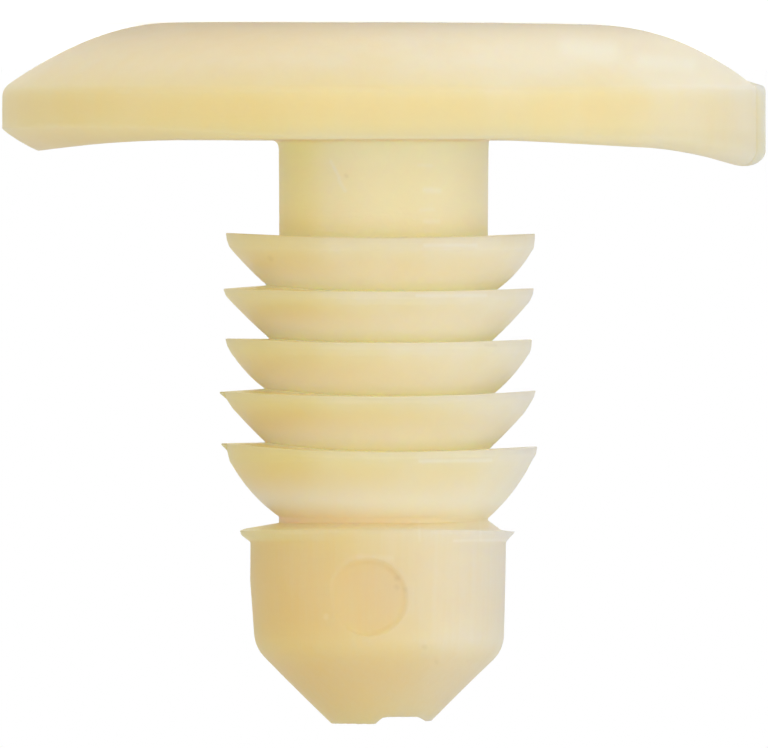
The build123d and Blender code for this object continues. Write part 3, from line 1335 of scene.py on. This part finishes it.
    def colour(self, skin: SkinTree, milk: Level) -> bpy.types.Node:
        """Colour the plastic under its marks.

        Args:
            skin: Tree that gets the nodes.
            milk: The milkiness.

        Returns:
            The colour of milky skin, glowing core and thick stock.
        """
        lower = skin.add("ShaderNodeMapRange", [milk, 0.0, self.straw_milk])
        upper = skin.add("ShaderNodeMapRange", [milk, self.straw_milk, 1.0])
        tint = skin.paint(self.deep_straw, [(lower, self.straw), (upper, self.bloom)])
        glow = skin.total(self.glow, self.glow_changes)
        glow = skin.add("ShaderNodeMath", [glow, skin.areas[Area.BARE_CORE]], operation="MULTIPLY")
        plus_side, barbs = skin.areas[Area.PLUS_SIDE], skin.areas[Area.BARBS]
        core = skin.paint(self.neck_core, [(plus_side, self.yellow_core), (barbs, self.core)])
        stock = skin.total(skin.level(self.stock), self.stock_changes)
        thick = skin.paint(self.thick, [(skin.areas[Area.PALE_WALL], self.pale_thick)])
        return skin.paint(tint, [(glow, core), (stock, thick)])

    def build(self) -> bpy.types.Material:
        """Build the material.

        Returns:
            The node material.
        """
        material = bpy.data.materials.new(self.name)
        skin = SkinTree(empty_tree(material), self.pin_place)
        clouds = skin.noise(self.clouds)
        pale, dark, dents = self.lay_marks(skin)
        tint = self.colour(skin, self.milkiness(skin, clouds))
        tint = skin.paint(tint, [(pale, self.scuff), (dark, self.smudge)])
        smoothest, roughest = self.roughness - self.roughness_swing, self.roughness + self.roughness_swing
        rough = skin.add("ShaderNodeMapRange", [clouds, *self.cloud_ends, smoothest, roughest])
        reliefs = [(skin.noise(pattern), pattern.strength * MM) for pattern in (self.grain, self.turning)]
        relief = skin.total(dents, reliefs)
        bump = skin.add("ShaderNodeBump", {"Strength": 1.0, "Distance": 1.0, "Height": relief})
        shader = skin.add(
            "ShaderNodeBsdfPrincipled",
            {
                "Base Color": tint,
                "Roughness": rough,
                "IOR": self.ior,
                "Specular IOR Level": self.gloss_level,
                "Normal": bump,
                "Subsurface Weight": 1.0,
                "Subsurface Radius": self.scatter_radius,
                "Subsurface Scale": self.scatter_scale * MM,
            },
            subsurface_method="RANDOM_WALK",
        )
        skin.add("ShaderNodeOutputMaterial", {"Surface": shader})
        return material


@dataclass(frozen=True)
class PaleFloor:
    """Matt white sheet: pale, with no texture of its own, it only takes the rivet's soft shadow."""

    name: str = "matt_white_sheet"
    paint: str = "#F4F4F2"
    lift: float = 0.75          # added for the camera, so that the lit sheet is white
    clear_from: float = 45.0    # millimetres from the rivet, where the sheet starts to turn into plain white
    clear_to: float = 110.0

    def build(self) -> bpy.types.Material:
        """Build the material.

        Returns:
            The node material.
        """
        material = bpy.data.materials.new(self.name)
        tree = empty_tree(material)
        add = partial(add_node, tree)
        seen = seen_plainly(tree)
        place = add("ShaderNodeTexCoord").outputs["Object"]
        distance = add("ShaderNodeVectorMath", [place], operation="LENGTH").outputs["Value"]
        clearing = [distance, self.clear_from * MM, self.clear_to * MM]
        far = add("ShaderNodeMapRange", clearing, interpolation_type="SMOOTHSTEP")
        lift = add("ShaderNodeMath", [seen, self.lift], operation="MULTIPLY")
        matt = add("ShaderNodeBsdfDiffuse", {"Color": linear_colour(self.paint), "Roughness": 0.0})
        near = add("ShaderNodeAddShader", [matt, add("ShaderNodeEmission", {"Strength": lift})])
        plain = add("ShaderNodeEmission", {"Strength": seen})
        blended = add("ShaderNodeMixShader", [far, near, plain])
        add("ShaderNodeOutputMaterial", {"Surface": blended})
        return material


# ---- The part ----


@dataclass(frozen=True)
class PushRivet:
    """The whole moulding, built and dressed."""

    section: RivetSection = RivetSection()
    lathe: Lathe = Lathe()
    ejector_mark: EjectorMark = EjectorMark()
    gate_break: GateBreak = GateBreak()
    finish: NaturalNylon = NaturalNylon()

    def build(self) -> bpy.types.Object:
        """Turn the skin, cut the scars and dress the result.

        Returns:
            The finished moulding.
        """
        material = self.finish.build()
        moulding = self.lathe.turn(self.section.build(), material, "push_rivet_moulding")
        log.info("turned skin: %d faces", len(moulding.data.polygons))
        cut(moulding, [self.ejector_mark.build(), self.gate_break.build()])
        moulding.data.shade_smooth()
        moulding.data.set_sharp_from_angle(angle=SHARP_ANGLE)
        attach(moulding, BODY)
        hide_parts(NODE)
        log.info("%s: %d faces", moulding.name, len(moulding.data.polygons))
        return moulding


# ---- The studio ----


@dataclass(frozen=True)
class SoftLamp:
    """Square area lamp that looks at the rivet's middle. Lengths are in millimetres."""

    name: str
    place: tuple[float, float, float]
    width: float
    power: float

    def build(self, aim: Vector) -> bpy.types.Object:
        """Hang the lamp.

        Args:
            aim: Point that it looks at, in metres.

        Returns:
            The lamp object.
        """
        lamp = bpy.data.lights.new(self.name, "AREA")
        lamp.shape = "SQUARE"
        lamp.size = self.width * MM
        lamp.energy = self.power
        made = bpy.data.objects.new(self.name, lamp)
        made.location = Vector(self.place) * MM
        made.rotation_euler = (aim - made.location).to_track_quat("-Z", "Y").to_euler()
        made.visible_camera = False
        bpy.context.scene.collection.objects.link(made)
        return made


@dataclass(frozen=True)
class Viewpoint:
    """Long lens level with the middle of the shank, held upside down. Lengths are in millimetres."""

    distance: float = 705.0
    height: float = 5.53
    across: float = -0.035
    frame_width: float = 18.12      # across the picture, at the rivet's axis
    film_width: float = 36.0

    def build(self) -> bpy.types.Object:
        """Place the camera, with the crown at the top of the picture.

        Returns:
            The camera object.
        """
        eye = Vector((self.across, -self.distance, self.height)) * MM
        aim = Vector((self.across, 0.0, self.height)) * MM
        forward = (aim - eye).normalized()
        right = forward.cross(Vector((0.0, 0.0, -1.0))).normalized()
        up = right.cross(forward)
        data = bpy.data.cameras.new("long_lens")
        data.sensor_fit = "HORIZONTAL"
        data.sensor_width = self.film_width
        data.lens = self.film_width * (aim - eye).length / (self.frame_width * MM)
        data.clip_start = 0.01
        data.clip_end = 5.0
        camera = bpy.data.objects.new("long_lens", data)
        turned = Matrix((right, up, -forward)).transposed().to_4x4()
        camera.matrix_world = Matrix.Translation(eye) @ turned
        bpy.context.scene.collection.objects.link(camera)
        bpy.context.scene.camera = camera
        return camera


@dataclass(frozen=True)
class Studio:
    """Pale floor, soft lamps and an even white surround."""

    floor_height: float
    floor_finish: PaleFloor = PaleFloor()
    floor_radius: float = 450.0
    surround: float = 0.555
    lamps: tuple[SoftLamp, ...] = (
        SoftLamp("front_softbox", (0.0, -420.0, 10.0), 260.0, 0.565),
        SoftLamp("side_softbox", (-290.0, -190.0, 0.0), 240.0, 0.36),
        SoftLamp("fill_softbox", (320.0, -120.0, 0.0), 200.0, 0.13),
        SoftLamp("crown_softbox", (0.0, -70.0, -310.0), 200.0, 0.19),
    )
    viewpoint: Viewpoint = Viewpoint()

    def build_floor(self) -> bpy.types.Object:
        """Lay the floor. Lamps under its level still reach the rivet through it, as through a light table.

        Returns:
            The floor object.
        """
        form = bmesh.new()
        bmesh.ops.create_circle(
            form,
            cap_ends=True,
            cap_tris=True,
            segments=96,
            radius=self.floor_radius * MM,
            matrix=Matrix.Translation((0.0, 0.0, self.floor_height)),
        )
        mesh = bpy.data.meshes.new("floor")
        form.to_mesh(mesh)
        form.free()
        mesh.materials.append(self.floor_finish.build())
        floor = new_object("floor", mesh)
        floor.visible_shadow = False
        floor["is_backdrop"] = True
        return floor

    def build_surround(self) -> None:
        """Make the world: white where it is seen, and a plain even light on everything else."""
        world = bpy.data.worlds.new("white_surround")
        tree = empty_tree(world)
        light, plain = (
            add_node(tree, "ShaderNodeBackground", {"Color": linear_colour(WHITE), "Strength": strength})
            for strength in (self.surround, 1.0)
        )
        blended = add_node(tree, "ShaderNodeMixShader", [seen_plainly(tree), light, plain])
        add_node(tree, "ShaderNodeOutputWorld", {"Surface": blended})
        bpy.context.scene.world = world

    def build(self, aim: Vector) -> None:
        """Build the floor, the surround, the lamps and the camera.

        Args:
            aim: Point that the lamps look at, in metres.
        """
        self.build_floor()
        self.build_surround()
        for lamp in self.lamps:
            lamp.build(aim)
        self.viewpoint.build()
        bpy.context.scene.view_settings.view_transform = "Standard"


def main() -> None:
    """Load the frame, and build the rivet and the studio."""
    logging.basicConfig(level=logging.INFO, format="%(name)s: %(message)s")
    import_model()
    solid_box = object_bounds()
    low, high = solid_box
    PushRivet().build()
    Studio(floor_height=low.z).build(aim=(low + high) / 2)


if __name__ == "__main__":
    main()
